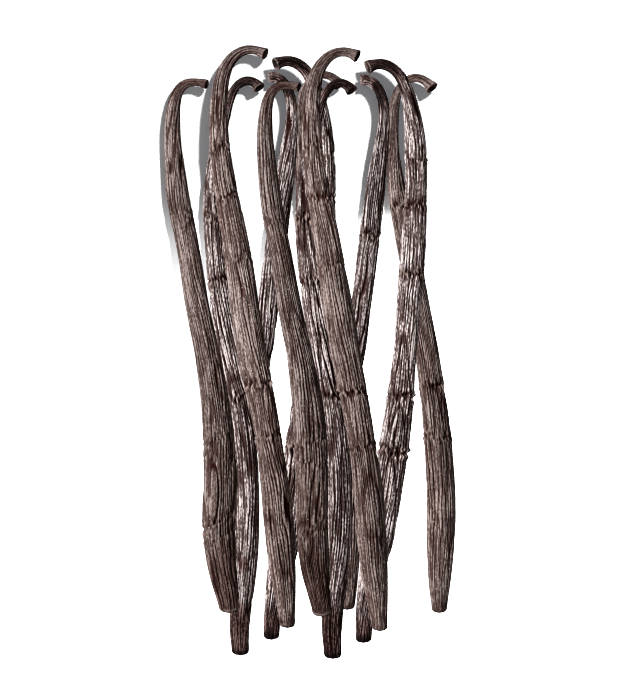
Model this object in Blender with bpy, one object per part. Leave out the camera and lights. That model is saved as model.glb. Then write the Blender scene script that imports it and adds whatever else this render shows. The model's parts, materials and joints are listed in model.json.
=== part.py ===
"""A bundle of cured vanilla pods, lying loosely across each other on a flat surface.

The pods lie in two groups of six, one group beside the other. Each pod is one solid: a thin neck,
hooked at the cut stalk end, that widens into a long flattened body and ends in a blunt tip.
The pods are laid down one after another, and each rests on the surface and on the pods under it.

Units are millimetres until the solids are made, then metres. +Y runs from the tips to the stalk
ends, +Z is up, and the origin is the centre of the bundle's footprint, on the surface.
"""

import math

import bmesh
import bpy
import numpy as np

MM = 0.001

# The section of a pod: an ellipse as wide as the pod, with a flat edge below.
SECTION_SIDES = 12
THICKNESS = 0.66  # thickness over width

# Each pod's route on the surface, from the stalk end to the tip: x, y and the pod's width there.
OUTER_ROUTE = [
    (-29.2, 76.1, 2.0),
    (-31.6, 76.7, 2.0),
    (-34.1, 76.8, 2.1),
    (-36.3, 76.1, 2.4),
    (-37.8, 74.4, 2.9),
    (-38.8, 70.9, 3.4),
    (-39.3, 64.0, 4.5),
    (-38.8, 55.0, 5.2),
    (-37.0, 40.0, 6.0),
    (-35.0, 30.0, 5.7),
    (-32.5, 15.0, 6.2),
    (-29.2, -1.0, 6.9),
    (-26.6, -17.0, 8.3),
    (-25.5, -34.0, 8.8),
    (-25.8, -52.0, 9.0),
    (-24.5, -65.0, 7.3),
    (-23.1, -71.5, 5.4),
    (-22.5, -74.8, 4.5),
]
TALL_ROUTE = [
    (-12.8, 84.8, 2.7),
    (-15.1, 85.9, 2.4),
    (-17.6, 86.2, 2.4),
    (-20.0, 85.4, 2.7),
    (-22.2, 83.7, 3.1),
    (-24.0, 81.0, 3.6),
    (-25.3, 76.8, 4.2),
    (-26.1, 69.0, 4.9),
    (-25.8, 58.0, 5.5),
    (-24.1, 45.4, 6.1),
    (-21.7, 33.0, 6.8),
    (-19.0, 16.0, 7.7),
    (-16.6, 1.5, 7.8),
    (-13.9, -12.0, 7.3),
    (-11.5, -26.5, 7.2),
    (-9.6, -42.0, 8.0),
    (-8.4, -56.0, 7.9),
    (-7.5, -65.8, 6.6),
    (-6.8, -72.5, 5.1),
    (-6.3, -79.1, 3.8),
]
LONG_ROUTE = [
    (-14.4, 74.8, 2.6),
    (-15.7, 76.8, 2.6),
    (-17.9, 77.5, 2.4),
    (-20.1, 76.7, 2.4),
    (-21.7, 74.8, 2.4),
    (-23.1, 71.7, 2.5),
    (-24.6, 66.0, 3.1),
    (-26.3, 58.0, 4.4),
    (-27.6, 46.0, 5.4),
    (-27.5, 34.0, 5.7),
    (-26.0, 20.0, 6.0),
    (-23.7, 4.0, 6.4),
    (-20.4, -14.0, 6.9),
    (-18.3, -31.0, 7.1),
    (-17.9, -47.0, 7.2),
    (-18.5, -62.0, 6.4),
    (-19.8, -74.0, 5.9),
    (-20.3, -81.5, 5.3),
    (-19.6, -87.2, 4.0),
]
ARCHED_ROUTE = [
    (-10.2, 81.7, 2.9),
    (-8.3, 82.6, 2.6),
    (-6.0, 82.9, 2.7),
    (-3.7, 82.2, 2.9),
    (-1.6, 80.6, 3.0),
    (0.1, 78.1, 3.2),
    (1.7, 73.9, 3.8),
    (3.2, 66.5, 5.0),
    (4.0, 57.0, 5.8),
    (4.0, 43.0, 5.9),
    (3.2, 29.0, 6.9),
    (1.9, 15.0, 6.7),
    (0.7, 0.0, 6.3),
    (-0.7, -13.0, 7.6),
    (-2.3, -25.0, 8.3),
    (-4.7, -43.0, 8.0),
    (-7.3, -57.0, 7.9),
    (-9.1, -66.0, 6.5),
    (-10.6, -74.5, 5.0),
    (-11.2, -82.8, 4.0),
]
SLIM_ROUTE = [
    (-11.7, 78.3, 2.3),
    (-10.0, 78.5, 2.4),
    (-8.3, 77.7, 2.6),
    (-6.8, 75.8, 2.7),
    (-5.7, 73.0, 2.8),
    (-5.2, 69.0, 2.9),
    (-5.6, 63.0, 3.7),
    (-6.9, 53.0, 5.0),
    (-9.0, 37.0, 5.8),
    (-11.5, 17.0, 5.7),
    (-13.6, 1.0, 5.8),
    (-17.5, -16.0, 6.2),
    (-21.0, -31.0, 6.3),
    (-23.2, -48.0, 6.1),
    (-23.8, -60.0, 5.1),
    (-23.6, -71.2, 3.5),
]
UNDER_ROUTE = [
    (8.6, 75.8, 2.9),
    (6.9, 77.8, 2.3),
    (4.7, 78.9, 2.2),
    (2.5, 78.8, 2.2),
    (0.6, 77.7, 2.3),
    (-0.9, 75.7, 2.6),
    (-2.1, 72.0, 2.8),
    (-2.6, 66.0, 3.0),
    (-2.6, 58.0, 3.3),
    (-1.9, 49.0, 4.7),
    (-0.5, 40.0, 5.3),
    (2.6, 25.0, 5.9),
    (5.6, 9.0, 6.2),
    (8.0, -6.0, 6.8),
    (10.2, -23.0, 7.6),
    (11.1, -42.0, 7.9),
    (10.9, -57.0, 7.4),
    (10.5, -67.0, 5.6),
    (10.7, -74.2, 3.4),
]

# The second group lies this far from the first.
GROUP_SHIFT = {"left": (0.0, 0.0), "right": (26.4, -0.9)}

# The pods in the order in which they are laid down.
LAYING_ORDER = [
    ("left", "under"),
    ("right", "under"),
    ("left", "arched"),
    ("right", "arched"),
    ("left", "slim"),
    ("right", "slim"),
    ("left", "long"),
    ("left", "tall"),
    ("left", "outer"),
    ("right", "long"),
    ("right", "tall"),
    ("right", "outer"),
]
ROUTES = {
    "outer": OUTER_ROUTE,
    "tall": TALL_ROUTE,
    "long": LONG_ROUTE,
    "arched": ARCHED_ROUTE,
    "slim": SLIM_ROUTE,
    "under": UNDER_ROUTE,
}

# Skins: the dry, dull pods and the oily, darker ones. Linear colour, roughness.
SKINS = {
    "dry_pod_skin": ((0.085, 0.052, 0.045), 0.55),
    "oily_pod_skin": ((0.050, 0.027, 0.023), 0.35),
}
OILY_KINDS = ("long", "arched", "slim")

# How the pods lie.
LAYING_STEP = 0.5  # spacing of the points at which a pod is laid
ACROSS_SAMPLES = 27  # points across a pod at which it may touch what lies under it
PLAN_CELL = 0.4  # cell of the height map of what is already laid
PLAN_HALF_SIZE = 100.0
CLEARANCE = 0.42  # between a pod and what it lies on
BEND_RADIUS = 90.0  # the tightest a pod bends down over another
EASING = 4.0  # the length over which a bend eases in
NECK_RISE = 2.6  # how far a stalk end stands off the surface
NECK_LENGTH = 38.0  # the length of neck that rises
PRESSED = 0.3  # the depth pressed flat where a pod lies on the surface

# The stations of a solid are closer where the pod is thin, as its bends are tighter there.
STATION_STEP = 7.8  # at the width below
STATION_WIDTH = 7.0
STATION_POWER = 1.4  # how fast the step shrinks with the width
TIP_ROUNDING = 0.42  # length of the rounded tip, in tip widths
TIP_STATIONS = (0.0, 0.6, 0.93)  # where the rounded tip has its stations, from its start to its end
WELD = 0.001  # joins the caps to the tube


def smooth_route(route, step):
    """Points (x, y, width) every step along a smooth curve through the route's own points."""
    knots = np.array(route)
    chords = np.linalg.norm(np.diff(knots[:, :2], axis=0), axis=1)
    reach = np.concatenate([[0.0], np.cumsum(chords)])
    slopes = np.gradient(knots, reach, axis=0)
    along = np.linspace(0.0, reach[-1], int(reach[-1] / step) + 1)
    first = np.clip(np.searchsorted(reach, along, side="right") - 1, 0, len(reach) - 2)
    span = chords[first]
    t = ((along - reach[first]) / span)[:, None]
    span = span[:, None]
    start = knots[first] * (2 * t**3 - 3 * t**2 + 1) + slopes[first] * span * (t**3 - 2 * t**2 + t)
    end = knots[first + 1] * (3 * t**2 - 2 * t**3) + slopes[first + 1] * span * (t**3 - t**2)
    return start + end


def distances(points):
    """The distance along the points, from the first."""
    steps = np.linalg.norm(np.diff(points[:, :2], axis=0), axis=1)
    return np.concatenate([[0.0], np.cumsum(steps)])


def section_samples(plan):
    """Where a pod's section lies on the map at each point, and its half thickness there."""
    across = np.linspace(-1.0, 1.0, ACROSS_SAMPLES)
    tangent = np.gradient(plan[:, :2], axis=0)
    tangent /= np.linalg.norm(tangent, axis=1)[:, None]
    sideways = np.stack([-tangent[:, 1], tangent[:, 0]], axis=1)
    half_width = plan[:, 2] / 2
    spots = plan[:, None, :2] + sideways[:, None, :] * (half_width[:, None] * across)[..., None]
    cells = np.round((spots + PLAN_HALF_SIZE) / PLAN_CELL).astype(int)
    depth = THICKNESS * half_width[:, None] * np.sqrt(1 - across**2)
    return cells, depth


def bent_over(needed, along):
    """The lowest smooth line that stays above the needed heights and bends no tighter than allowed."""
    apart = along[:, None] - along[None, :]
    arch = (needed[None, :] - apart**2 / (2 * BEND_RADIUS)).max(axis=1)
    weight = np.exp(-(apart**2) / (2 * EASING**2))
    eased = (weight @ arch) / weight.sum(axis=1)
    return eased + EASING**2 / (2 * BEND_RADIUS)


def laid_pods():
    """The centre line and width of each pod, laid down in turn: {(group, kind): points (x, y, z, width)}."""
    size = int(2 * PLAN_HALF_SIZE / PLAN_CELL) + 1
    top = np.zeros((size, size))
    pods = {}
    for group, kind in LAYING_ORDER:
        plan = smooth_route(ROUTES[kind], LAYING_STEP)
        plan[:, :2] += GROUP_SHIFT[group]
        along = distances(plan)
        cells, depth = section_samples(plan)
        under = top[cells[..., 0], cells[..., 1]]
        needed = (under + np.where(under > 0, CLEARANCE, 0.0) + depth).max(axis=1)
        to_neck_end = np.clip(1 - along / NECK_LENGTH, 0, 1)
        needed = np.maximum(needed, depth.max(axis=1) + NECK_RISE * to_neck_end**2)
        height = bent_over(needed, along)
        np.maximum.at(top, (cells[..., 0], cells[..., 1]), height[:, None] + depth)
        pods[group, kind] = np.column_stack([plan[:, :2], height, plan[:, 2]])
    return pods


def stations(pod):
    """The pod's points at the spacing of its solid, with a rounded tip."""
    along = distances(pod)
    tip_width = pod[-1, 3]
    rounded = TIP_ROUNDING * tip_width
    body_end = along[-1] - rounded
    step = STATION_STEP * (pod[1:, 3] / STATION_WIDTH) ** STATION_POWER
    steps = np.concatenate([[0.0], np.cumsum(np.diff(along) / step)])
    body_steps = np.interp(body_end, along, steps)
    places = np.interp(np.linspace(0.0, body_steps, round(body_steps) + 1), steps, along)
    places = np.concatenate([places[:-1], body_end + rounded * np.array(TIP_STATIONS)])
    points = np.column_stack([np.interp(places, along, pod[:, i]) for i in range(4)])
    for i, share in enumerate(TIP_STATIONS):
        points[i - len(TIP_STATIONS), 3] *= math.sqrt(1 - share**2)
    return points


def guide_collection():
    guides = bpy.data.collections.new("guides")
    bpy.context.scene.collection.children.link(guides)
    return guides


def section_outline(guides):
    """The section that every pod is swept with: 1 mm from its centre to its side."""
    curve = bpy.data.curves.new("pod_section", "CURVE")
    curve.dimensions = "2D"
    spline = curve.splines.new("POLY")
    spline.points.add(SECTION_SIDES - 1)
    spline.use_cyclic_u = True
    half_side = math.pi / SECTION_SIDES
    for i, point in enumerate(spline.points):
        angle = -(2 * i + 1) * half_side
        side = math.cos(angle) / math.cos(half_side)
        rise = THICKNESS * math.sin(angle) / math.cos(half_side)
        point.co = (side * MM, rise * MM, 0, 1)
    outline = bpy.data.objects.new("pod_section", curve)
    outline.hide_render = True
    outline.display_type = "WIRE"
    guides.objects.link(outline)
    return outline


def skin_material(name):
    colour, roughness = SKINS[name]
    material = bpy.data.materials.new(name)
    material.use_nodes = True
    surface = material.node_tree.nodes["Principled BSDF"]
    surface.inputs["Base Color"].default_value = (*colour, 1)
    surface.inputs["Roughness"].default_value = roughness
    surface.inputs["Metallic"].default_value = 0
    material.diffuse_color = (*colour, 1)
    return material


def swept_tube(name, points, outline, guides):
    """A curve through the points, with the section scaled to the pod's width at each."""
    curve = bpy.data.curves.new(name, "CURVE")
    curve.dimensions = "3D"
    curve.twist_mode = "Z_UP"
    curve.bevel_mode = "OBJECT"
    curve.bevel_object = outline
    curve.use_fill_caps = True
    spline = curve.splines.new("POLY")
    spline.points.add(len(points) - 1)
    for point, (x, y, z, width) in zip(spline.points, points):
        point.co = (x * MM, y * MM, z * MM, 1)
        point.radius = width / 2
    tube = bpy.data.objects.new(name, curve)
    guides.objects.link(tube)
    return tube


def pod_mesh(name, points, outline, guides):
    """The swept tube as a closed mesh, pressed flat where it lies on the surface."""
    tube = swept_tube(name + "_line", points, outline, guides)
    evaluated = tube.evaluated_get(bpy.context.evaluated_depsgraph_get())
    mesh = bpy.data.meshes.new_from_object(evaluated)
    bpy.data.objects.remove(tube)
    mesh.name = name
    shape = bmesh.new()
    shape.from_mesh(mesh)
    bmesh.ops.remove_doubles(shape, verts=shape.verts, dist=WELD * MM)
    for vertex in shape.verts:
        vertex.co.z = max(vertex.co.z - PRESSED * MM, 0.0)
    shape.to_mesh(mesh)
    shape.free()
    return mesh


def clear_scene():
    for old in list(bpy.data.objects):
        bpy.data.objects.remove(old)


def bundle():
    collection = bpy.data.collections.new("vanilla_pod_bundle")
    bpy.context.scene.collection.children.link(collection)
    guides = guide_collection()
    outline = section_outline(guides)
    skins = {name: skin_material(name) for name in SKINS}

    pods = []
    for (group, kind), points in laid_pods().items():
        name = f"{group}_{kind}_pod"
        mesh = pod_mesh(name, stations(points), outline, guides)
        mesh.materials.clear()
        mesh.materials.append(skins["oily_pod_skin" if kind in OILY_KINDS else "dry_pod_skin"])
        mesh.shade_smooth()
        pod = bpy.data.objects.new(name, mesh)
        collection.objects.link(pod)
        pods.append(pod)

    corners = np.array([vertex.co for pod in pods for vertex in pod.data.vertices])
    centre = (corners.min(axis=0) + corners.max(axis=0)) / 2
    for pod in pods:
        pod.location = (-centre[0], -centre[1], 0)


clear_scene()
bundle()
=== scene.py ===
# %% [markdown]
# # A bundle of vanilla pods
#
# A cured vanilla pod is the dried fruit of an orchid. It starts as a smooth green bean. Weeks of
# sweating and slow drying turn it dark brown and supple, and its skin shrinks into long wrinkles.
# This lesson dresses twelve plain solids as twelve such pods. Each solid gives the place, the bends
# and the size of a pod, and the script measures them and builds the wrinkled skin there.

# %% The frame: the plain solids, in metres
import json
import math

import bpy
import numpy as np
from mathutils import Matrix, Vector
from mathutils.bvhtree import BVHTree


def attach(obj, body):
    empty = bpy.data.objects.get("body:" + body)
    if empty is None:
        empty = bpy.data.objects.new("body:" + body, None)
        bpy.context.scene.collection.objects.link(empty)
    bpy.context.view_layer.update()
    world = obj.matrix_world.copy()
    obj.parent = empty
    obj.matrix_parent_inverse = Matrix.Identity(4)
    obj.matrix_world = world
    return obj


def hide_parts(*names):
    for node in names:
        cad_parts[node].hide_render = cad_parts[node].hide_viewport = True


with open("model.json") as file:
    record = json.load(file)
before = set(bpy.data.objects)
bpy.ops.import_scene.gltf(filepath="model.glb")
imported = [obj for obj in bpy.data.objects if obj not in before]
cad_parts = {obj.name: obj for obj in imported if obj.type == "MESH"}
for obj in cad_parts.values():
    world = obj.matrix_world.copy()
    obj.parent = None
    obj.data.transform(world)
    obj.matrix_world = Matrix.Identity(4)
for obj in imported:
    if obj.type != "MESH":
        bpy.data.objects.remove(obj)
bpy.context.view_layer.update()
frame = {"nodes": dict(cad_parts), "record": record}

MM = 0.001
nodes = sorted(frame["nodes"])
slots = {part["node"]: part["material_slot"] for part in frame["record"]["subparts"]}

# %% [markdown]
# ## Measuring a pod
#
# A pod bends in a hook at its stalk end and climbs over the pods under it, so no formula gives its
# middle line. It could be typed in again as a list of points. Here it is measured instead: a point
# walks through the inside of the solid, from the tip to the stalk end, and after each step it looks
# to both sides, up and down, and moves to the middle. So the skin always fits its solid.

# %% Walk through a solid and measure it
WALK_STEP = 0.4 * MM
TURN_SHARE = 0.45  # how fast the walk's heading follows the bend


def wall_distance(tree, point, direction):
    """How far the solid's wall is from a point inside it."""
    return tree.ray_cast(point, direction)[3]


def walk(node):
    """Centre, half width and half thickness, every step from a pod's tip to its stalk end."""
    solid = frame["nodes"][node].data
    tree = BVHTree.FromPolygons([v.co for v in solid.vertices], [p.vertices for p in solid.polygons])
    corners = np.array([v.co for v in solid.vertices])
    tip = corners[corners[:, 1] < corners[:, 1].min() + WALK_STEP].mean(axis=0)
    heading = Vector((0, 1, 0))
    point = Vector(tip) + heading * WALK_STEP
    found = []
    while True:
        side = Vector((-heading.y, heading.x, 0)).normalized()
        up = heading.cross(side) if heading.cross(side).z > 0 else side.cross(heading)
        left, right = wall_distance(tree, point, side), wall_distance(tree, point, -side)
        above, below = wall_distance(tree, point, up), wall_distance(tree, point, -up)
        if None in (left, right, above, below):
            break
        middle = point + side * (left - right) / 2 + up * (above - below) / 2
        if found:
            step = (middle - Vector(found[-1][:3])).normalized()
            heading = heading.lerp(step, TURN_SHARE).normalized()
        found.append((*middle, (left + right) / 2, (above + below) / 2))
        ahead = wall_distance(tree, middle, heading)
        if ahead is None or ahead < WALK_STEP:
            break
        point = middle + heading * WALK_STEP
    return np.array(found)


walks = {node: walk(node) for node in nodes}
for node, found in walks.items():
    print(node, "steps:", len(found), "widest mm:", round(found[:, 3].max() * 2 / MM, 1))

# %% [markdown]
# ## A smooth line through the measured points
#
# The solids have flat facets, so the measured line has small corners. Each value is replaced by a
# straight-line fit to its neighbours, with close ones counting most. A plain average would pull the
# ends of the pod inwards, and a fit doesn't.

# %% Smooth the measured lines
END_SKIPPED = 2.2 * MM  # the solid's rounded tip, which the skin shapes for itself
SMOOTHING = 0.42  # how far the fit of the middle line reaches, in pod widths
SIZE_SMOOTHING = 1.6  # how many times as far the fit of the size reaches
SLOPE_STEPS = 12  # steps of the walk over which the size's slope at the tip is taken


def fitted(values, along, reach):
    """Each value as a straight line fitted to the values near it gives it."""
    apart = along[None, :] - along[:, None]
    weight = np.exp(-(apart**2) / (2 * reach[:, None] ** 2))
    total, first, second = weight.sum(1), (weight * apart).sum(1), (weight * apart**2).sum(1)
    flat = weight @ values
    tilted = (weight * apart) @ values
    return (second[:, None] * flat - first[:, None] * tilted) / (total * second - first**2)[:, None]


def distance_along(points):
    """How far each point is from the first one, along the line."""
    steps = np.linalg.norm(np.diff(points, axis=0), axis=1)
    return np.concatenate([[0.0], np.cumsum(steps)])


def smooth_line(found):
    """Distance from the tip, centre, half width and half thickness, all smooth."""
    along = distance_along(found[:, :3])
    widths = found[:, 3] * 2
    reach = np.maximum(SMOOTHING * widths, 2 * WALK_STEP)
    centre = fitted(found[:, :3], along, reach)
    inner = along > END_SKIPPED
    size = fitted(found[inner, 3:], along[inner], SIZE_SMOOTHING * reach[inner])
    size = np.column_stack([np.interp(along, along[inner], size[:, i]) for i in range(2)])
    rise, run = [values[inner][SLOPE_STEPS] - values[inner][0] for values in (size, along)]
    size[~inner] = size[inner][0] + rise / run * (along[~inner] - along[inner][0])[:, None]
    return {"along": distance_along(centre), "centre": centre, "size": size}


lines = {node: smooth_line(found) for node, found in walks.items()}
for node, line in lines.items():
    print(node, "length mm:", round(line["along"][-1] / MM, 1))

# %% [markdown]
# ## Noise that runs round a pod
#
# Wrinkles are irregular, so they are drawn from noise: random numbers on a grid that is wrapped
# round the pod, joined by smooth curves. A cell is about a wrinkle wide and many times as long, which
# is what makes the wrinkles run along the pod. The same seed always gives the same pod.

# %% Smooth random values on the skin
UNIT_SPREAD = 2.1  # brings the smoothed values back to a spread of about one
FIRST_ROW = 1.5  # rows of the grid before the tip, since the curves reach past the ends of the pod
SPARE_ROWS = 6  # rows in all beyond those that the pod's length fills


def spline_weights(t):
    """How much the four nearest grid values count at a place between them."""
    return (1 - t) ** 3 / 6, (3 * t**3 - 6 * t**2 + 4) / 6, (-3 * t**3 + 3 * t**2 + 3 * t + 1) / 6, t**3 / 6


def skin_noise(around, along, cells, length, seed):
    """Smooth noise at places around the pod (0 to 1) and along it (mm), with cells of that length."""
    rows = int(along.max() / length) + SPARE_ROWS
    values = np.random.default_rng(seed).normal(size=(rows, cells))
    x = around * cells
    y = along / length + FIRST_ROW
    column, row = np.floor(x).astype(int), np.floor(y).astype(int)
    total = 0.0
    for i, down in enumerate(spline_weights(y - row)):
        for j, across in enumerate(spline_weights(x - column)):
            total = total + down * across * values[row + i - 1, (column + j - 1) % cells]
    return total * UNIT_SPREAD


# an unrolled pod, 160 mm long, on which the next cells try out what they make
trial_around, trial_along = np.linspace(0, 1, 200)[None, :], np.linspace(0, 160, 800)[:, None]
trial = skin_noise(trial_around, trial_along, 24, 20, seed=1)
print("noise from", round(trial.min(), 1), "to", round(trial.max(), 1), "spread", round(trial.std(), 2))

# %% [markdown]
# ## Rings across the pods
#
# Where the skin was pinched while it dried, a rough ring runs across the pod, and the wrinkles
# before and after it don't meet. Each kind of pod has its rings at other places. They are kept in a
# table, as is all else that differs from pod to pod, so that a pod is changed by changing a number.

# %% The rings of each kind of pod
RINGS = {  # distance from the tip in mm, strength, and how far the ring slants across the pod in mm
    "outer": [(115, 0.4, 0), (50, 0.5, 2), (44, 0.4, -1), (27, 0.45, 6), (22, 0.4, 5)],
    "tall": [(139, 0.6, 1), (124, 0.8, 2), (105, 0.5, -1), (69, 0.9, 0), (54, 0.6, 1)],
    "long": [(127, 1.0, 0), (109, 0.9, 1), (75, 0.8, 0)],
    "arched": [(139, 0.6, 0), (126, 0.9, 1), (106, 0.8, 0), (72, 0.9, 1), (56, 1.0, -1)],
    "slim": [(106, 0.9, 0), (60, 0.7, 1)],
    "under": [(131, 0.5, 1), (118, 0.8, 1), (65, 0.9, 0), (51, 0.8, -1)],
}


def kind_of(node):
    """The middle word of a pod's name, as in left_outer_pod."""
    return node.split("_")[1]


print("rings on all the pods:", sum(len(RINGS[kind_of(node)]) for node in nodes))

# %% [markdown]
# ## Where the skin needs many points
#
# A mesh can't show a shape finer than its own faces. The wrinkles are long and narrow, so the mesh has
# many points round the pod and fewer along it, except at the rings and the ends, where the skin is
# crumpled. The underside is never seen closely and gets fewer.

# %% Places for the mesh's points along a pod
SPACING = 1.1  # mm between stations along the body
END_SPACING = 0.3  # mm between them at the very ends
END_GROWTH = 0.1  # mm that this grows by with every mm away from an end
RING_SPACING = 0.28
RING_REACH = 2.3  # mm on each side of a ring that is built finely
RULER_STEP = 0.05  # mm; the spacing is added up in steps as small as this


def station_places(length, rings):
    """Where along the pod (mm) its stations are: closer at the rings and at the ends."""
    ruler = np.arange(0, length, RULER_STEP)
    spacing = np.full(ruler.shape, SPACING)
    for place, *_ in rings:
        spacing = np.where(abs(ruler - place) < RING_REACH, RING_SPACING, spacing)
    spacing = np.minimum(spacing, END_SPACING + END_GROWTH * np.minimum(ruler, length - ruler))
    count = np.concatenate([[0.0], np.cumsum(RULER_STEP / spacing[1:])])
    return np.interp(np.linspace(0, count[-1], int(count[-1]) + 1), count, ruler)


print("stations on a 165 mm pod:", len(station_places(165, RINGS["tall"])))

# %% Places for the mesh's points round a pod
AROUND = 160  # vertices round a pod
UNDERSIDE_SHARE = 0.5  # how densely they stand at the lowest place, as a share of above
LOWEST = 0.75  # the lowest place, by girth from the pod's side over its top
OVAL = 0.66  # thickness over width of a pod, for spacing the points evenly
GIRTH_RADIUS = 0.84  # radius of a circle with this oval's girth, over half the pod's width
SAMPLES = 2001


def round_places(count):
    """Places round the pod, 0 to 1 by girth, fewer below, and the oval's angle at each."""
    girth = np.linspace(0, 1, SAMPLES)
    sideways = abs(girth - LOWEST) * 4  # 0 at the lowest place, 1 at the sides
    density = np.where(girth < 0.5, 1.0, UNDERSIDE_SHARE + (1 - UNDERSIDE_SHARE) * sideways)
    reach = np.cumsum(density) - density[0]
    around = np.interp(np.arange(count) / count * reach[-1], reach, girth)
    turn = np.linspace(0, 2 * math.pi, SAMPLES)
    oval = distance_along(np.column_stack([np.cos(turn), OVAL * np.sin(turn)]))
    return around, np.interp(around * oval[-1], oval, turn)


print("points round a pod:", AROUND, "on its upper half:", (round_places(AROUND)[0] < 0.5).sum())

# %% [markdown]
# ## Ridges
#
# The skin shrinks more than the flesh under it, so it folds into rounded ridges with narrow, deep
# grooves between them. A sine wave round the pod gives evenly spaced ridges. Smooth noise makes its
# phase drift along the pod, makes its grooves wider and narrower, and lets some of them fade. Real
# ridges also end, fork and meet. For that, two sets of ridges with different counts take turns: one
# stretch of skin shows one set and the next stretch the other. All this is real shape and not only
# shading, because it shows at the pod's outline.

# %% Ridges that drift, fade, fork and end
# A noise is its strength, its cells round the pod, their length in mm, and its own part of the seed.
# Cells of 1 or less are a share of the number of ridges.
DRIFT = [(0.9, 6, 28, 0), (0.25, 14, 10, 1), (0.12, 1, 3.5, 15)]  # in ridges
GROOVE_WIDENING = [(0.3, 0.5, 14, 8)]
GROOVE_STRENGTH = [(0.12, 6, 24, 12), (0.24, 1, 16, 2)]
TAKING_TURNS = [(1, 7, 18, 20)]
MEAN_STRENGTH = 0.8
STRENGTH_LIMITS = (0.4, 1.15)
SHARE_LIMITS = (0.2, 0.9)
FLANK = (0.32, 0.8)  # where a ridge's flank starts and ends, as shares of its groove's width
NARROWEST = 0.1  # what each groove has besides
TURN_EDGE = 0.1  # how sharply one set of ridges gives way to the other
SECOND_SET = 0.8  # its number of ridges, as a share of the first set's
SECOND_SEED = 40


def eased(value, low, high):
    """0 below low, 1 above high, and a smooth step between them."""
    t = np.clip((value - low) / (high - low), 0, 1)
    return t * t * (3 - 2 * t)


def layered(around, along, noises, seed, count=1, total=0.0):
    """Noises added to a starting value, for a pod with so many ridges."""
    for strength, cells, length, own_seed in noises:
        cells = cells if cells > 1 else int(cells * count)
        total = total + strength * skin_noise(around, along, cells, length, seed + own_seed)
    return total


def ridges(around, along, count, share, seed):
    """1 on the crests of so many ridges round the pod, falling to 0 in the grooves between them."""
    drift = layered(around, along, DRIFT, seed, count)
    share = np.clip(share * layered(around, along, GROOVE_WIDENING, seed, count, 1), *SHARE_LIMITS)
    wave = abs(np.sin(math.pi * (count * around + drift)))
    groove = 1 - eased(wave, NARROWEST + FLANK[0] * share, NARROWEST + FLANK[1] * share)
    strength = layered(around, along, GROOVE_STRENGTH, seed, count, MEAN_STRENGTH)
    return 1 - np.clip(strength, *STRENGTH_LIMITS) * groove


def wrinkles(around, along, count, share, seed):
    """Two sets of ridges that take turns, so that ridges end, fork and meet."""
    turn = eased(layered(around, along, TAKING_TURNS, seed), -TURN_EDGE, TURN_EDGE)
    first = ridges(around, along, count, share, seed)
    second = ridges(around, along, round(SECOND_SET * count), share, seed + SECOND_SEED)
    return first + turn * (second - first)


trial = wrinkles(trial_around, trial_along, 24, 0.66, seed=1)
print("share of a pod's skin that lies in grooves:", round((trial < 0.5).mean(), 2))

# %% [markdown]
# ## Fine and deep grooves
#
# Between the large wrinkles, the crests have fine grooves of their own, and here and there one groove
# is much deeper than its neighbours, where the pod was bent or pressed. A sine wave would be too
# even for these, so they run where a noise passes through zero.

# %% Fine and deep grooves
GROOVES = {  # cells round the pod, their length in mm, own part of the seed, and reach in the noise
    "fine, body": (64, 7, 4, 0.8),
    "fine, neck": (34, 6, 3, 0.8),
    "deep": (10, 22, 9, 0.2),
}
GROOVE_SHARPNESS = 1.4


def grooves(around, along, kind, seed):
    """1 at the bottom of a groove, falling to 0 at the skin beside it."""
    cells, length, own_seed, reach = GROOVES[kind]
    noise = skin_noise(around, along, cells, length, seed + own_seed)
    return np.clip(1 - abs(noise) / reach, 0, 1) ** GROOVE_SHARPNESS


for kind in GROOVES:
    trial = grooves(trial_around, trial_along, kind, seed=1)
    print("share of the skin in grooves that are", kind + ":", round((trial > 0.2).mean(), 2))

# %% [markdown]
# ## Torn rings
#
# At a ring the skin bulges a little towards the stalk, drops over a torn edge and crumples beside it.
# The edge wobbles and comes and goes round the pod, since a clean ring would look turned on a lathe.
# In places there is a second edge beside it. A ring could be sculpted by hand, but there are 48 of
# them, and from a few numbers each comes out different.

# %% What makes a ring uneven
RING_NOISES = {  # strength, cells round the pod, and own part of the seed
    "bend": (0.7, 5, 11),  # mm
    "wobble": (0.3, 23, 31),  # mm
    "gaps": (0.5, 8, 51),
    "second edge": (0.7, 11, 71),
}


def bell(distance, reach):
    """1 at no distance, falling smoothly to 0 beyond the reach."""
    return np.exp(-((distance / reach) ** 2))


def ring_noise(name, around, along, seed):
    """A noise that changes only round the pod."""
    strength, cells, own_seed = RING_NOISES[name]
    return strength * skin_noise(around, 0 * along, cells, 1, seed + own_seed)


trial = ring_noise("wobble", trial_around, trial_along, seed=1)
print("a ring's edge wobbles in mm from", round(trial.min(), 2), "to", round(trial.max(), 2))

# %% Bulges, torn edges and crumples
RING_PRESENCE = (1.3, 0.15)  # a ring shows by 1.3 times its strength, less 0.15
LEAST_PRESENCE = 0.15
BULGE_HEIGHT = 0.08  # mm
BULGE = (1.5, 1.5)  # its place past the ring and its reach, in mm
DIP = (-1.6, 1.8, 0.5)  # the same for the dip before the ring, and its share of the bulge's height
EDGE_REACH = 0.42  # mm
SECOND_EDGE = (1.1, 0.35)  # its place past the ring and its reach, in mm
CRUMPLES = (-0.2, 1.9)  # the same for the crumpled skin
CRUMPLE_SHARES = (0.6, 0.4)  # how crumpled the skin is all round a ring, and more where the ring shows


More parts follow.
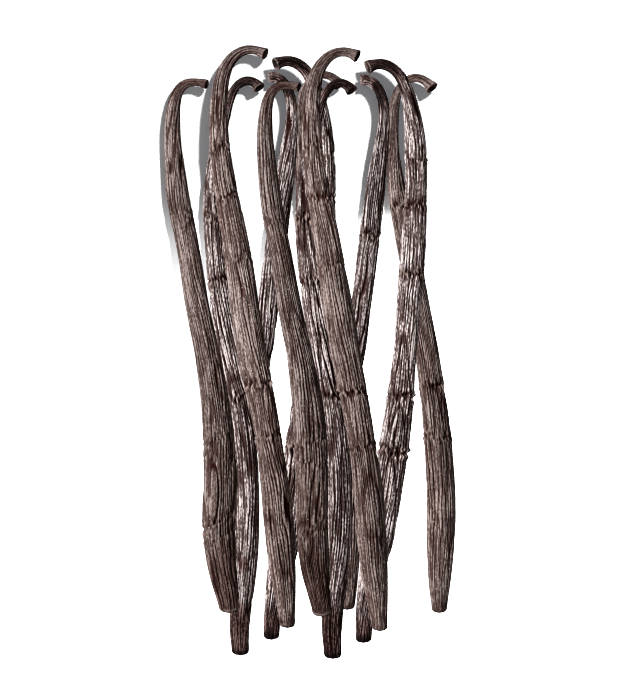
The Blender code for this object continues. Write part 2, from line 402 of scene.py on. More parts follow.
def ring_marks(around, along, rings, seed):
    """The rings' height in mm, their torn edges and crumples, which darken the colours later as painted
    shade, and how many lie below each place.
    """
    height, edge, crumpled, part = [np.zeros(np.broadcast(around, along).shape) for _ in range(4)]
    across = np.cos(2 * math.pi * around)
    for i, (place, strength, slant) in enumerate(rings):
        bend, wobble, gaps, second = [ring_noise(name, around, along, seed + i) for name in RING_NOISES]
        off = along - place - slant * across / 2 - bend - wobble
        present = RING_PRESENCE[0] * strength - RING_PRESENCE[1] + gaps
        present = np.clip(present, LEAST_PRESENCE, 1)
        part += off > 0
        relief = bell(off - BULGE[0], BULGE[1]) - DIP[2] * bell(off - DIP[0], DIP[1])
        height += strength * BULGE_HEIGHT * present * relief
        second = np.clip(second, 0, 1) * bell(off - SECOND_EDGE[0], SECOND_EDGE[1])
        edge = np.maximum(edge, strength * np.maximum(present * bell(off, EDGE_REACH), second))
        amount = CRUMPLE_SHARES[0] + CRUMPLE_SHARES[1] * present
        crumpled = np.maximum(crumpled, strength * amount * bell(off - CRUMPLES[0], CRUMPLES[1]))
    return height, edge, crumpled, part


trial = ring_marks(trial_around, trial_along, RINGS["tall"], seed=1)[1]
print("share of a tall pod's skin in torn edges:", round((trial > 0.3).mean(), 3))

# %% [markdown]
# ## The whole relief
#
# Ridges, grooves and rings are added up to one height in mm. Broad folds and lumps go under them, as
# the soft flesh shrank unevenly too. The neck is thinner and drier than the body and has fewer, wider
# wrinkles, so each part has a set of its own, and one fades into the other. The skin is set a little
# outside the solid, so that the grooves don't make the pod thinner than it was measured.

# %% The wrinkles of each kind of pod
# ridges round the body and round the neck, how wide their grooves are there, as a share of a ridge's
# flank, and the depth in mm of the grooves, of the fine grooves on the ridges and of the few deep ones
WRINKLES = {
    "outer": (29, 14, 0.70, 0.42, 0.34, 0.20, 0.25),
    "tall": (29, 13, 0.62, 0.42, 0.36, 0.18, 0.28),
    "long": (24, 12, 0.66, 0.72, 0.50, 0.18, 0.45),
    "arched": (24, 12, 0.66, 0.58, 0.50, 0.18, 0.45),
    "slim": (20, 12, 0.80, 0.66, 0.48, 0.16, 0.40),
    "under": (28, 13, 0.64, 0.46, 0.38, 0.18, 0.28),
}
FULL_WIDTH = 7.0  # mm: the grooves have their full depth on a pod this wide
girth = math.pi * GIRTH_RADIUS * FULL_WIDTH
print("mm from ridge to ridge:", {kind: round(girth / row[0], 2) for kind, row in WRINKLES.items()})

# %% Grooves, folds and rings as height in mm
BODY_WIDTHS = (3.2, 5.0)  # mm: the skin is a neck's below this width and a body's above it
BODY_PLACES = (35, 70)  # mm from the stalk end, likewise
NECK_SEED = 13
DEPTH_LIMITS = (0.2, 1.15)  # least and most of that depth on other pods
RING_SHIFT = 0.37  # of the girth, by which the wrinkles beyond a ring are turned
SWELL = 0.24  # mm that the crests stand out of the plain solid
FOLDS, FOLD_HEIGHT = [(1, 9, 26, 5)], 0.12  # a noise as for the ridges, and mm
LUMPS, LUMP_HEIGHT = [(1, 5, 9, 7)], 0.08
CRUMPLE, CRUMPLE_HEIGHT = [(1, 58, 0.7, 6)], 0.30
EDGE_DEPTH = 0.34
PAINTED_CREASE_SHADE = {"fine": 0.6, "deep": 0.9, "edge": 0.95}  # painted shade in the fine and deep grooves and at torn edges: how much each darkens the ridge mark, which the colours follow
# painted shade and light on the broad folds: low ones darker, high ones lighter
FOLD_LIGHT_AND_SHADE = 0.1
CRUMPLE_SHADE = (0.5, 0.9, 0.95)  # painted shade in the crumples at the rings: mean, contrast and most
PALEST_CREST = 1.5


def skin_relief(around, along, length, width, kind, seed):
    """The skin's height in mm, its ridge mark with painted shade in the creases, and its pale crumpled
    crests, at each place on the pod.
    """
    body_ridges, neck_ridges, body_share, neck_share, ridge_height, fine_depth, deep_depth = WRINKLES[kind]
    ring_height, edge, crumpled, part = ring_marks(around, along, RINGS[kind], seed)
    shifted = around + RING_SHIFT * part
    body = eased(width, *BODY_WIDTHS) * eased(length - along, *BODY_PLACES)
    crest = body * wrinkles(shifted, along, body_ridges, body_share, seed)
    crest = crest + (1 - body) * wrinkles(shifted, along, neck_ridges, neck_share, seed + NECK_SEED)
    fine = body * grooves(shifted, along, "fine, body", seed)
    fine = fine + (1 - body) * grooves(shifted, along, "fine, neck", seed)
    deep = grooves(shifted, along, "deep", seed)
    folds, lumps, crumple = [layered(around, along, noises, seed) for noises in (FOLDS, LUMPS, CRUMPLE)]

    height = SWELL - ridge_height * (1 - crest) - fine_depth * fine - deep_depth * deep
    height += FOLD_HEIGHT * folds + LUMP_HEIGHT * lumps
    height += ring_height - EDGE_DEPTH * edge + CRUMPLE_HEIGHT * crumpled * crumple

    # The ridge mark that the colours follow holds painted shade: it is darker in the grooves, the fine and
    # deep grooves, at torn edges, in crumples and on low folds, and lighter, as painted light, on high
    # folds.
    ridge = np.clip(crest, 0, 1) * (1 - PAINTED_CREASE_SHADE["fine"] * fine) * (1 - PAINTED_CREASE_SHADE["deep"] * deep)
    ridge = ridge * (1 - FOLD_LIGHT_AND_SHADE + FOLD_LIGHT_AND_SHADE * np.tanh(folds)) * (1 - PAINTED_CREASE_SHADE["edge"] * edge)
    mean, contrast, most = CRUMPLE_SHADE
    ridge = ridge * (1 - crumpled * np.clip(mean - contrast * crumple, 0, most))
    amount = np.clip(width / FULL_WIDTH, *DEPTH_LIMITS)
    return height * amount, ridge, crumpled * np.clip(crumple, 0, PALEST_CREST)


trial_width = np.full((1, 1), FULL_WIDTH)
trial = skin_relief(trial_around, trial_along, 160, trial_width, "tall", seed=1)[0]
print("relief of a tall pod in mm, from", round(trial.min(), 2), "to", round(trial.max(), 2))

# %% [markdown]
# ## From relief to a mesh
#
# The pod is a tube of rings of vertices. Each ring stands square to the middle line. Its outline is
# an oval as wide and thick as the solid, and the relief moves each vertex along the oval's own normal.
# Both ends are closed by a few more rings. The tip is blunt and rounded. The stalk end is a short
# collar, a little wider than the neck, and it was cut off at a slant, so its dark face shows from above.
# A curve with a bevel would give a tube too, but one whose outline can't change along the pod.

# %% The shape of a pod's ends
TIP_LENGTH = 0.38  # length of the rounded tip, in widths of the tip
TIP_BLUNTNESS = 2.5  # 2 gives a half circle, and more is blunter
TIP_OPENING = 0.01  # size of the first ring, which one face closes
TIP_OVERRUN = 0.5  # mm from the solid's own tip to the first place that was measured
TIP_FLARE = 0.12
TIP_FLARE_LENGTH = 2.0  # mm
COLLAR_FLARE = 0.3
COLLAR_LENGTH = 1.5  # mm
CUT_FACE = [(0.05, 0.97), (0.0, 0.88), (-0.3, 0.76), (-0.5, 0.5), (-0.45, 0.25), (-0.45, 0.05)]  # mm, size
TIP_RELIEF, CUT_RELIEF = 0.2, 0.3  # how much of the relief is left there
TIP_RELIEF_LENGTH = 3.0  # mm


def pod_rings(length, rings, tip_width):
    """Each ring's place along the pod in mm, its size and how much of the skin's relief it has."""
    body = station_places(length + TIP_OVERRUN, rings) - TIP_OVERRUN
    turn = np.clip((body + TIP_OVERRUN) / (TIP_LENGTH * tip_width), 0, 1)
    size = np.sqrt(np.clip(1 - (1 - turn) ** TIP_BLUNTNESS, 0, 1)) * (1 - TIP_OPENING) + TIP_OPENING
    size *= 1 + COLLAR_FLARE * bell(length - body, COLLAR_LENGTH) + TIP_FLARE * bell(body, TIP_FLARE_LENGTH)
    relief = eased(body, 0.0, TIP_RELIEF_LENGTH) * (1 - TIP_RELIEF) + TIP_RELIEF
    places = np.concatenate([body, [length + step for step, _ in CUT_FACE]])
    size = np.concatenate([size, [size[-1] * share for _, share in CUT_FACE]])
    return places, size, np.concatenate([relief, [CUT_RELIEF] * len(CUT_FACE)])


print("sizes of a pod's first rings:", pod_rings(165, RINGS["tall"], 5)[1][:5].round(2).tolist())

# %% The middle line at any place
def line_at(line, places):
    """Centre, directions and size of the pod at distances along it, in mm. The ends run on straight."""
    known = line["along"] / MM
    inside = np.clip(places, 0, known[-1])
    centre = np.column_stack([np.interp(inside, known, line["centre"][:, i]) for i in range(3)])
    slopes = np.gradient(line["centre"], line["along"], axis=0)
    tangent = np.column_stack([np.interp(inside, known, slopes[:, i]) for i in range(3)])
    tangent /= np.linalg.norm(tangent, axis=1)[:, None]
    centre += tangent * ((places - inside) * MM)[:, None]
    side = np.column_stack([tangent[:, 1], -tangent[:, 0], np.zeros(len(places))])
    side /= np.linalg.norm(side, axis=1)[:, None]
    up = np.cross(side, tangent)
    size = np.column_stack([np.interp(inside, known, line["size"][:, i]) for i in range(2)])
    return centre, side, up, tangent, size


for node, line in lines.items():
    print(node, "width in mm half way along:", (line_at(line, [80.0])[4][:, 0] * 2 / MM).round(1).tolist())

# %% Put the relief on the oval
CUT_SLANT = 0.55
SLANT_LENGTH = 2.2  # mm of the collar that lean with the cut
END_RELIEF = 2  # rings smaller than one in this many have less relief, down to none


def pod_points(line, rings, angles, height):
    """Each vertex of the skin in metres, station by station."""
    places, ring_size, relief_share = rings
    centre, side, up, tangent, size = line_at(line, places)
    height = height * relief_share[:, None] * np.minimum(ring_size * END_RELIEF, 1)[:, None] * MM
    outline = np.stack([np.cos(angles), np.sin(angles)], axis=1)
    normal = outline[None] / size[:, None, :]
    normal /= np.linalg.norm(normal, axis=2)[:, :, None]
    flat = outline[None] * size[:, None, :] * ring_size[:, None, None] + normal * height[:, :, None]
    length = line["along"][-1] / MM
    slant = -CUT_SLANT * eased(places[:, None], length - SLANT_LENGTH, length) * flat[:, :, 1]
    points = centre[:, None, :] + side[:, None, :] * flat[:, :, :1] + up[:, None, :] * flat[:, :, 1:]
    points = (points + tangent[:, None, :] * slant[:, :, None]).reshape(-1, 3)
    points[:, 2] = np.maximum(points[:, 2], 0.0)  # pressed flat where it lies on the table
    return points


print("the cut leans back by", round(math.degrees(math.atan(CUT_SLANT))), "degrees")

# %% Join the points to a mesh
def skin_mesh(name, points):
    """A tube through the vertices, closed by one face at each end."""
    grid = np.arange(len(points)).reshape(-1, AROUND)
    here, there = grid[:-1], grid[1:]
    quads = np.stack([here, np.roll(here, -1, 1), np.roll(there, -1, 1), there], axis=2).reshape(-1, 4)
    faces = [tuple(q) for q in quads.tolist()] + [tuple(grid[0][::-1].tolist()), tuple(grid[-1].tolist())]
    mesh = bpy.data.meshes.new(name)
    mesh.from_pydata(points.tolist(), [], faces)
    mesh.update()
    mesh.shade_smooth()
    return mesh


print("vertices in the face that closes a tube:", AROUND)

# %% [markdown]
# ## Marks for the colours
#
# Some pods are drier and dull, and some are oily, with a nearly black neck and tip. The colours also
# follow the relief, with painted shade in its creases. So each point of the mesh carries a few numbers
# that the material will read: how high it is on a ridge, darker where painted shade lies in the
# creases, how dark the neck, the tip and the cut face are, and where dry skin has gone pale. They could
# be painted on by hand, but worked out in this way they fit each pod's own length. A place on the
# unrolled skin, in mm, lets the finest fibres run along the pod.

# %% How light each kind of pod is
# length of the dark neck in mm, how light it, its collar and its cut face are, and how light the
# half of the pod nearer the stalk is
NECKS = {
    "outer": (12, 0.5, 0.4, 0.1, 1.0),
    "tall": (20, 0.65, 0.7, 0.08, 1.0),
    "long": (12, 0.08, 0.1, 0.03, 0.74),
    "arched": (11, 0.07, 0.08, 0.03, 0.88),
    "slim": (12, 0.06, 0.42, 0.25, 0.82),
    "under": (18, 0.65, 0.8, 0.12, 1.0),
}
# length of the darker tip in mm, and how light it, its last 2 mm, its rim and the whole pod are
TIPS = {
    "outer": (18, 0.58, 0.9, 0.8, 0.70),
    "tall": (4, 0.8, 0.7, 0.1, 0.9),
    "long": (18, 0.26, 0.15, 0.0, 0.86),
    "arched": (12, 0.3, 0.15, 0.0, 0.96),
    "slim": (6, 0.7, 0.4, 0.0, 0.76),
    "under": (4, 0.75, 0.7, 0.1, 0.9),
}
print("kinds of pod with a nearly black neck:", [kind for kind, row in NECKS.items() if row[1] < 0.1])

# %% How the dark parts fade
RAGGED = [(0.25, 9, 5, 91)]  # how uneven the ends of the dark parts are
NECK_FADE = (0.6, 1.3)  # where the neck's dark colour starts and ends to fade, in neck lengths
TIP_FADE = (0.5, 1.2)  # the same, in tip lengths
CAP_FADE = (1.2, 2.6)  # mm
UPPER_HALF = (30, 75)  # mm from the stalk end
COLLAR_MARK = (3.4, 0.8)  # mm: the collar's colour reaches this far, and fades over this much
MOTTLES, MOTTLE_SHARE = [(1, 4, 14, 92)], 0.12


def fading(light, share):
    """Light where the share is 0, and 1 where it is 1."""
    return 1 - (1 - light) * (1 - share)


def skin_shade(kind, from_tip, from_stalk, around, ragged, seed):
    """How light the skin is, from its place along the pod."""
    neck, neck_light, collar_light, _, upper_light = NECKS[kind]
    tip, tip_light, cap_light, _, body_light = TIPS[kind]
    begins, ends = from_tip * ragged, from_stalk * ragged
    shade = fading(neck_light, eased(ends, NECK_FADE[0] * neck, NECK_FADE[1] * neck))
    shade = shade * (upper_light + (1 - upper_light) * eased(from_stalk, *UPPER_HALF))
    shade = body_light * shade * fading(tip_light, eased(begins, TIP_FADE[0] * tip, TIP_FADE[1] * tip))
    shade = shade * fading(cap_light, eased(begins, *CAP_FADE))
    shade = shade * (1 + MOTTLE_SHARE * np.tanh(layered(around, from_tip, MOTTLES, seed)))
    collar = eased(COLLAR_MARK[0] - ends, 0, COLLAR_MARK[1])
    return shade + (collar_light - shade) * collar


trial_ragged = layered(trial_around, trial_along, RAGGED, 1, total=1)
for kind in NECKS:
    trial = skin_shade(kind, trial_along, 160 - trial_along, trial_around, trial_ragged, seed=1)
    print("how light the", kind, "pods are on average:", round(trial.mean(), 2))

# %% Where the skin has gone pale
CUT_RIM = (0.1, 0.2, 0.5)  # place before the cut and reach in mm, and strength
CUT_RIM_GAPS = (3, 2.4)
TIP_RIM = (0.1, 0.28)
TIP_RIM_GAPS = (2, 1.2)
TIP_RIM_CURVE = 0.8  # mm that it runs back at the pod's sides, as the tip's outline does


def skin_pale(kind, from_tip, from_stalk, around, ragged):
    """Dry, pale rims at the cut and round the tip."""
    gaps = np.clip(CUT_RIM_GAPS[0] * ragged - CUT_RIM_GAPS[1], 0, 1)
    pale = CUT_RIM[2] * bell(from_stalk - CUT_RIM[0], CUT_RIM[1]) * gaps
    rim = from_tip - TIP_RIM[0] - TIP_RIM_CURVE * np.cos(2 * math.pi * around) ** 2
    gaps = np.clip(TIP_RIM_GAPS[0] * ragged - TIP_RIM_GAPS[1], 0, 1)
    return pale + TIPS[kind][3] * bell(rim, TIP_RIM[1]) * gaps


trial = skin_pale("outer", trial_along, 160 - trial_along, trial_around, trial_ragged)
print("share of an outer pod's skin that is pale:", round((trial > 0.3).mean(), 4))

# %% [markdown]
# ## The twelve pods
#
# Now each solid gets its skin. The relief is worked out on the unrolled skin, put on the oval, joined
# to one closed mesh and given its marks. The seed goes up from pod to pod, so no two are alike.

# %% Put the marks on a mesh
MARKS = ("ridge", "shade", "pale")


def add_marks(mesh, marks, place):
    """Numbers that each vertex carries, and its place in the skin's pattern, in mm."""
    for name, values in zip(MARKS, marks):
        layer = mesh.attributes.new(name, "FLOAT", "POINT")
        layer.data.foreach_set("value", values.astype(np.float32).ravel())
    spot = mesh.attributes.new("skin_place", "FLOAT_VECTOR", "POINT")
    spot.data.foreach_set("vector", place.astype(np.float32).ravel())


print("marks on each vertex:", MARKS)

# %% Build the pods
CREST_PALE = 0.5  # how pale the crumpled crests at the rings are
PATTERN_SHIFT = 7.0  # mm in the pattern from one seed to the next
FIRST_SEED, SEED_STEP = 100, 20


def build_pod(node, seed):
    """A pod's skin, which stands for its plain solid."""
    line, kind = lines[node], kind_of(node)
    length = line["along"][-1] / MM
    rings = pod_rings(length, RINGS[kind], line["size"][0, 0] * 2 / MM)
    size = line_at(line, rings[0])[4]
    around, angles = round_places(AROUND)
    around, from_tip = around[None, :], rings[0][:, None]
    from_stalk = length - from_tip
    height, ridge, crest = skin_relief(around, from_tip, length, 2 * size[:, :1] / MM, kind, seed)
    mesh = skin_mesh(node + "_skin", pod_points(line, rings, angles, height))

    ragged = layered(around, from_tip, RAGGED, seed, total=1)
    shade = skin_shade(kind, from_tip, from_stalk, around, ragged, seed)
    shade[1 - len(CUT_FACE) :] = NECKS[kind][3]
    pale = np.clip(skin_pale(kind, from_tip, from_stalk, around, ragged) + CREST_PALE * crest, 0, 1)
    turn = 2 * math.pi * around
    reach = GIRTH_RADIUS * size[:, :1] / MM
    place = np.stack(np.broadcast_arrays(reach * np.cos(turn), reach * np.sin(turn), from_tip), axis=2)
    add_marks(mesh, (ridge, shade, pale), place + seed * PATTERN_SHIFT)

    pod = bpy.data.objects.new(node + "_skin", mesh)
    bpy.context.scene.collection.objects.link(pod)
    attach(pod, "root")
    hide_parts(node)
    return pod


pods = {node: build_pod(node, FIRST_SEED + SEED_STEP * i) for i, node in enumerate(nodes)}
triangles = {node: sum(len(face.vertices) - 2 for face in pod.data.polygons) for node, pod in pods.items()}
print("triangles in all:", sum(triangles.values()), "most in one pod:", max(triangles.values()))

# %% [markdown]
# ## Colours, and one helper for nodes
#
# Blender works in linear light, and colours are usually noted as sRGB hex values, so one function
# turns the one into the other. A material is a network of nodes. A second function adds a node, sets
# it up and links its inputs, so that each line further down is one step of the recipe.

# %% Two helpers for materials
def colour(hex_value):
    """An sRGB hex colour as linear values."""
    parts = [int(hex_value[i : i + 2], 16) / 255 for i in (1, 3, 5)]
    return (*[c / 12.92 if c <= 0.04045 else ((c + 0.055) / 1.055) ** 2.4 for c in parts], 1)


def add_node(tree, kind, settings=None, **links):
    """Adds a node, with its settings and its inputs: a value, or another node's output."""
    node = tree.nodes.new(kind)
    for name, value in (settings or {}).items():
        setattr(node, name, value)
    for name, value in links.items():
        socket = node.inputs[int(name[1:])] if name[1:].isdigit() else node.inputs[name.replace("_", " ")]
        if isinstance(value, bpy.types.NodeSocket):
            tree.links.new(value, socket)
        else:
            socket.default_value = value
    return node


print("a groove's brown, linear:", [round(part, 4) for part in colour("#260a06")[:3]])

# %% [markdown]
# ## Cured pod skin
#
# The skin of a cured pod is thin, leathery and slightly oily. The bottoms of its wrinkles stay dark,
# and the crests are rubbed and dried to a greyish brown. The colours go further than the skin's own:
# the grooves are painted nearly black as painted shade, and the crests pale with a painted highlight.
# That difference is what makes the wrinkles show from far off. So one number, the tone, is worked out
# from the relief and decides most of the rest: the colour on a ramp from groove to crest, how rough
# the skin is and how much oil lies on it. A painted texture could do the same, but a tone that comes
# from the shape always fits it.
#
# Three noises break the tone up. Fibres run along the pod, a short grain chops them, and broad
# patches make one stretch of skin lighter than the next.

# %% The tone, from groove to crest
# Width and length of the marks in mm, and how much they darken and lighten the tone. Real fibres and
# skin cells are about 0.1 mm wide and are drawn four times as wide here, since they wouldn't show at
# their true size.
SKIN_PATTERN = [
    (0.4, 8.0, 0.6, 1.3),  # fibres
    (0.36, 0.9, 0.63, 1.27),  # grain, from rows of skin cells
    (6.2, 6.2, 0.92, 1.08),  # patches, about as wide as a pod
]
NOISE_RANGE = {"From_Min": 0.34, "From_Max": 0.66}  # where most of a noise's values lie
PRODUCT = {"operation": "MULTIPLY"}


def skin_tone(tree, relief, place):
    """The tone, and the noises of the fibres, the grain and the patches."""
    tone = relief
    noises = []
    for width, length, darkest, lightest in SKIN_PATTERN:
        scale = (1 / width, 1 / width, 1 / length)
        sized = add_node(tree, "ShaderNodeMapping", Vector=place, Scale=scale).outputs[0]
        noise = add_node(tree, "ShaderNodeTexNoise", Vector=sized, Scale=1.0, Detail=0.0).outputs["Fac"]
        limits = {**NOISE_RANGE, "To_Min": darkest, "To_Max": lightest}
        amount = add_node(tree, "ShaderNodeMapRange", Value=noise, **limits).outputs[0]
        tone = add_node(tree, "ShaderNodeMath", PRODUCT, _0=tone, _1=amount).outputs[0]
        noises.append(noise)
    return tone, noises


print("the tone's darkest and lightest share of the relief:",
      [round(math.prod(layer[i] for layer in SKIN_PATTERN), 2) for i in (2, 3)])

# %% [markdown]
# ## The skin's colours
#
# A ramp turns the tone into the browns of groove, ridge and crest. The groove's brown is partly painted
# shade, and the crest's pale colour is dried skin with a painted highlight. The necks and tips are
# darker and redder, by the marks that the mesh carries, as there is less flesh under the skin there.
# A dry pod has fine crystals of vanillin on it, called frost, which show as a few pale specks. They
# could be scattered as small meshes, but at this size specks in the colour look the same.

# %% Browns and dark ends
NECK_RED = (1.0, 0.7, 0.66, 1)  # what the darkest skin keeps of red, green and blue
UNTINTED = (1, 1, 1, 1)
RED_SHADES = {"From_Min": 0.25, "From_Max": 0.62}  # shades from the reddest to the plain brown
TORN_SKIN = "#a08f88"
RIDGE_TONE = 0.5  # the tone at which the skin has the ridges' plain colour
BLEND = {"data_type": "RGBA"}
COLOUR_PRODUCT = {"data_type": "RGBA", "blend_type": "MULTIPLY"}


def skin_colour(tree, tone, shade, pale, groove, ridge, pale_crest_and_highlight):
    """The browns: painted shade in grooves, painted highlight on crests, darker and redder necks and tips,
    pale torn skin.
    """
    ramp = add_node(tree, "ShaderNodeValToRGB", Fac=tone)
    stops = ramp.color_ramp.elements
    # the groove's brown is partly painted shade, and the crest's pale colour partly a painted highlight
    stops[0].color = colour(groove)
    stops[1].color = colour(pale_crest_and_highlight)
    stops.new(RIDGE_TONE).color = colour(ridge)
    lit = add_node(tree, "ShaderNodeMapRange", Value=shade, **RED_SHADES).outputs[0]
    tint = add_node(tree, "ShaderNodeMix", BLEND, _0=lit, _6=NECK_RED, _7=UNTINTED).outputs[2]
    skin = add_node(tree, "ShaderNodeMix", COLOUR_PRODUCT, _0=1.0, _6=ramp.outputs[0], _7=shade).outputs[2]
    skin = add_node(tree, "ShaderNodeMix", COLOUR_PRODUCT, _0=1.0, _6=skin, _7=tint).outputs[2]
    return add_node(tree, "ShaderNodeMix", BLEND, _0=pale, _6=skin, _7=colour(TORN_SKIN)).outputs[2]


print("what the darkest necks keep of red, green and blue:", NECK_RED[:3])

# %% Frost
FROST = "#b5a79f"
FROST_APART = 1.1  # mm between crystals; they are 0.2 mm long, and are drawn about twice as long
FROST_SIZE = 0.2  # share of that distance
FROST_COVER = 0.8
FROST_PATCHES = {"From_Min": 0.5, "From_Max": 0.6}  # values of the patches' noise that have frost


def frosted(tree, skin, place, patches, shade):
    """The skin with frost on it, in patches and not on the dark ends."""
    cells = add_node(tree, "ShaderNodeTexVoronoi", Vector=place, Scale=1 / FROST_APART).outputs["Distance"]
    limits = {"From_Min": FROST_SIZE / 2, "From_Max": FROST_SIZE, "To_Min": FROST_COVER, "To_Max": 0.0}
    frost = add_node(tree, "ShaderNodeMapRange", Value=cells, **limits).outputs[0]
    patch = add_node(tree, "ShaderNodeMapRange", Value=patches, **FROST_PATCHES).outputs[0]
    frost = add_node(tree, "ShaderNodeMath", PRODUCT, _0=frost, _1=patch).outputs[0]
    frost = add_node(tree, "ShaderNodeMath", PRODUCT, _0=frost, _1=shade).outputs[0]
    return add_node(tree, "ShaderNodeMix", BLEND, _0=frost, _6=skin, _7=colour(FROST)).outputs[2]


print("width of a speck of frost in mm:", round(2 * FROST_SIZE * FROST_APART, 2))

# %% [markdown]
# ## Wax, oil and fibres
#
# The grooves are dull and the crests shine a little: the skin's own wax hardly shines, and the pod's
# oil lies over it on the crests, as a coat. The finest fibres are too small to build as shape, so
# they are the one thing here that is only bump.

# %% The whole material
FIBRE_DEPTH = 0.15 * MM  # deeper than in life, as the fibres are drawn wider
DULLNESS = {"From_Min": 0.1, "From_Max": 0.7, "To_Min": 0.8}  # tones, and the grooves' roughness
OILINESS = {"From_Min": 0.25, "From_Max": 0.8, "To_Min": 0.0}  # tones, and the grooves' oil
OIL_ROUGHNESS = 0.28
PLANT_WAX = 1.47  # IOR
POD_OIL = 1.47  # IOR
WAX_SHINE = 0.08  # the dry skin itself hardly shines
WAX_TINT = (1.0, 0.82, 0.78, 1)


def pod_skin(name, groove, ridge, pale_crest_and_highlight, roughness, oil_cover):
    """A cured skin: colours of grooves with painted shade, of ridges and of dried crests with a painted
    highlight, the crests' roughness and oil.
    """
    material = bpy.data.materials.new(name)
    material.use_nodes = True
    tree = material.node_tree
    surface = tree.nodes["Principled BSDF"]
    relief, shade, pale = [
        add_node(tree, "ShaderNodeAttribute", {"attribute_name": mark}).outputs["Fac"]
        for mark in MARKS
    ]
    place = add_node(tree, "ShaderNodeAttribute", {"attribute_name": "skin_place"}).outputs["Vector"]
    tone, (fibres, _, patches) = skin_tone(tree, relief, place)
    skin = skin_colour(tree, tone, shade, pale, groove, ridge, pale_crest_and_highlight)
    skin = frosted(tree, skin, place, patches, shade)
    tree.links.new(skin, surface.inputs["Base Color"])

    dull = add_node(tree, "ShaderNodeMapRange", Value=tone, To_Max=roughness, **DULLNESS).outputs[0]
    oil = add_node(tree, "ShaderNodeMapRange", Value=tone, To_Max=oil_cover, **OILINESS).outputs[0]
    oil = add_node(tree, "ShaderNodeMath", PRODUCT, _0=oil, _1=shade).outputs[0]
    fibre_bump = add_node(tree, "ShaderNodeBump", Height=fibres, Strength=1.0, Distance=FIBRE_DEPTH)
    tree.links.new(dull, surface.inputs["Roughness"])
    tree.links.new(oil, surface.inputs["Coat Weight"])
    tree.links.new(fibre_bump.outputs[0], surface.inputs["Normal"])
    surface.inputs["IOR"].default_value = PLANT_WAX
    surface.inputs["Specular IOR Level"].default_value = WAX_SHINE
    surface.inputs["Specular Tint"].default_value = WAX_TINT
    surface.inputs["Coat IOR"].default_value = POD_OIL
    surface.inputs["Coat Roughness"].default_value = OIL_ROUGHNESS
    return material


print("IOR of the wax and of the oil:", PLANT_WAX, POD_OIL)

# %% The two finishes, and which pods have them
skins = {
    # dried longer: greyer, nearly dull crests, as on old leather; their pale colour holds a weaker painted
    # highlight, and the grooves' dark colour partly painted shade
    "dry_pod_skin": pod_skin(
        "dry_cured_pod_skin", groove="#260a06", ridge="#5b4b47", pale_crest_and_highlight="#978985",
        roughness=0.5, oil_cover=0.2,
    ),
    # still oily: pale pinkish streaks of painted highlight in the crests' colour, and grooves that look
    # wet, their dark colour partly painted shade
    "oily_pod_skin": pod_skin(
        "oily_cured_pod_skin", groove="#240906", ridge="#594a48", pale_crest_and_highlight="#cfc5c4",
        roughness=0.36, oil_cover=0.38,
    ),
}
for node, pod in pods.items():
    pod.data.materials.append(skins[slots[node]])
    print(node, "has", pod.data.materials[0].name)

# %% [markdown]
# ## The paper
#
# The bundle lies on white paper. Its own light on the pods would fill the grooves from the sides, so
# the paper is hidden from the rays that carry it. That keeps the pods' outlines dark.

# %% A sheet of white paper
PAPER_SIZE = 4  # metres, so that its edges are out of view from every side
PAPER_GAP = 0.2 * MM  # below the pods, so that no two faces lie in one plane

bpy.ops.mesh.primitive_plane_add(size=PAPER_SIZE)
floor = bpy.context.object
floor.name = "floor"
floor.location.z = -PAPER_GAP
paper = bpy.data.materials.new("matt_white_paper")  # uncoated: an even white with no shine
paper.use_nodes = True
paper.node_tree.nodes["Principled BSDF"].inputs["Base Color"].default_value = colour("#f6f6f6")
paper.node_tree.nodes["Principled BSDF"].inputs["Roughness"].default_value = 0.9
floor.data.materials.append(paper)
floor.visible_diffuse = False
floor.visible_glossy = False
print("paper:", PAPER_SIZE, "m wide, of", floor.data.materials[0].name)

# %% [markdown]
# ## Shadows on the paper
#
# Light linking says which objects a lamp lights and which ones stop its light. One lamp, far away
# to the upper right, lights only the paper and throws the pods' soft shadows on it. Three lamps
# without shadows light only the paper too. They fill the shadows in a little everywhere, and quite
# near the tips and in the gap between the two halves of the bundle, as reflectors would in a studio.

# %% A lamp that lights only some things
def collection_of(name, objects):
    """A named group of objects, for light linking."""
    group = bpy.data.collections.new(name)
    for member in objects:
        group.objects.link(member)
    return group


def lamp_at(name, kind, place, power, lit, blockers=None):
    """A lamp at a place, turned to the middle of the bundle, that lights only some objects."""
    light = bpy.data.lights.new(name, kind)
    light.energy = power
    light.use_shadow = blockers is not None
    lamp = bpy.data.objects.new(name, light)
    lamp.location = place
    lamp.rotation_euler = (-Vector(place)).to_track_quat("-Z", "Y").to_euler()
    lamp.light_linking.receiver_collection = collection_of(name + "_lights", lit)
    if blockers:
        lamp.light_linking.blocker_collection = collection_of(name + "_stopped_by", blockers)
    bpy.context.scene.collection.objects.link(lamp)
    return lamp


# %% Lamps that light the paper
SHADOW_FROM = (0.58, 0.68, 1.0)  # only the direction counts, as for the sun
SHADOW_POWER = 4.9  # watts on a square metre
SHADOW_BLUR = 5  # degrees across the lamp, as the paper sees it
SKYLIGHT_POWER = 0.32  # watts on a square metre
SKYLIGHT_COLOUR = (0.8, 0.9, 1.0)
FILL_HEIGHT = 1.2  # metres
FILL_BLEND = 0.25  # share of each fill's round over which it fades
FILLS = {  # centre and radius of the lit round on the paper in metres, and power in watts
    "front_fill": ((0, -0.348), 0.4, 120),
    "gap_fill": ((0.025, 0.006), 0.036, 66),
}
# these lie highest, so their shadows would fall too far from them
NO_SHADOW_FROM = ("right_outer_pod", "right_tall_pod", "right_long_pod")

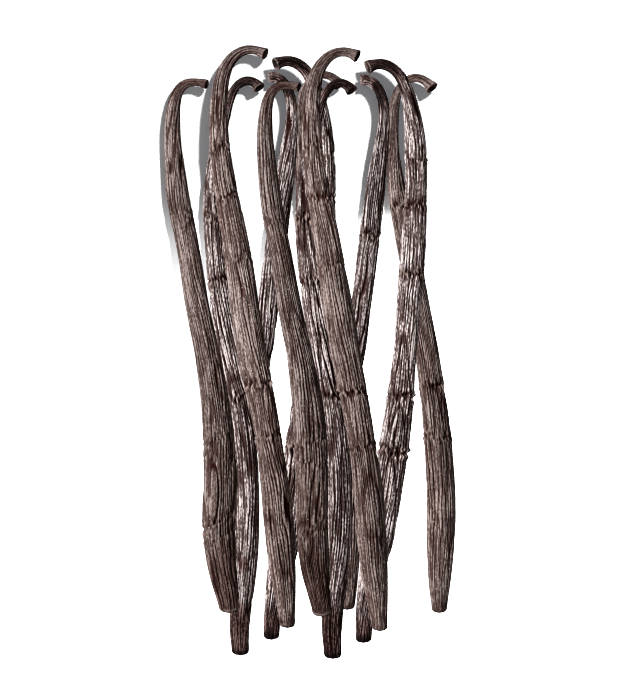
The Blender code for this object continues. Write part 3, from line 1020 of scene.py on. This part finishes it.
casters = [pod for node, pod in pods.items() if node not in NO_SHADOW_FROM]
shadow_lamp = lamp_at("shadow_lamp", "SUN", SHADOW_FROM, SHADOW_POWER, [floor], casters)
shadow_lamp.data.angle = math.radians(SHADOW_BLUR)
floor_fill = lamp_at("floor_fill", "SUN", (0, 0, 1), SKYLIGHT_POWER, [floor])
floor_fill.data.color = SKYLIGHT_COLOUR
for name, ((x, y), radius, power) in FILLS.items():
    fill = lamp_at(name, "SPOT", (x, y, FILL_HEIGHT), power, [floor])
    fill.rotation_euler = (0, 0, 0)
    fill.data.spot_size = 2 * math.atan(radius / FILL_HEIGHT)
    fill.data.spot_blend = FILL_BLEND
print("pods that throw a shadow:", len(casters))

# %% [markdown]
# ## A soft box for every pod
#
# Wrinkles show best in light that grazes them from one side. One lamp for the whole bundle would
# leave the lower pods in the shade of the upper ones, and their wrinkles would be lost. So each pod
# has a long soft box of its own to its left, and only its own wrinkles stop that light. A weak warm
# sky keeps the grooves and the far sides from going quite black.

# %% Lamps that light the pods
SOFT_BOX_PLACE = (-0.74, 0.15, 0.66)  # metres
SOFT_BOX_POWER = 21  # watts
SOFT_BOX_SIDES = (0.14, 0.3)  # metres
SOFT_BOX_COLOUR = (1.0, 0.97, 0.96)
SKY_COLOUR = (1.0, 0.93, 0.9, 1)
SKY_STRENGTH = 0.18

for node, pod in pods.items():
    box = lamp_at("soft_box_" + node, "AREA", SOFT_BOX_PLACE, SOFT_BOX_POWER, [pod], [pod])
    box.data.color = SOFT_BOX_COLOUR
    box.data.shape = "RECTANGLE"
    box.data.size, box.data.size_y = SOFT_BOX_SIDES
world = bpy.data.worlds.new("studio")
world.use_nodes = True
world.node_tree.nodes["Background"].inputs["Color"].default_value = SKY_COLOUR
world.node_tree.nodes["Background"].inputs["Strength"].default_value = SKY_STRENGTH
bpy.context.scene.world = world
print("lamps:", len(bpy.data.lights))

# %% [markdown]
# ## The camera
#
# The camera looks straight down from 1.2 m through a long lens, so that a pod that lies on top of
# another isn't drawn larger. The plain colour transform keeps the paper white, and a narrow render
# filter keeps the wrinkles crisp.

# %% The camera and the colour transform
LENS = 219.5  # mm
CAMERA_HEIGHT = 1.208  # metres
VIEW_CENTRE = (2.95 * MM, 1.88 * MM)
FILTER_WIDTH = 1.15  # narrower than the usual 1.5

camera = bpy.data.objects.new("camera", bpy.data.cameras.new("camera"))
camera.data.lens = LENS
camera.location = (*VIEW_CENTRE, CAMERA_HEIGHT)
bpy.context.scene.collection.objects.link(camera)
bpy.context.scene.camera = camera
bpy.context.scene.view_settings.view_transform = "Standard"
bpy.context.scene.cycles.filter_width = FILTER_WIDTH
print("height seen by the camera in mm:", round(camera.data.sensor_width / LENS * CAMERA_HEIGHT / MM, 1))
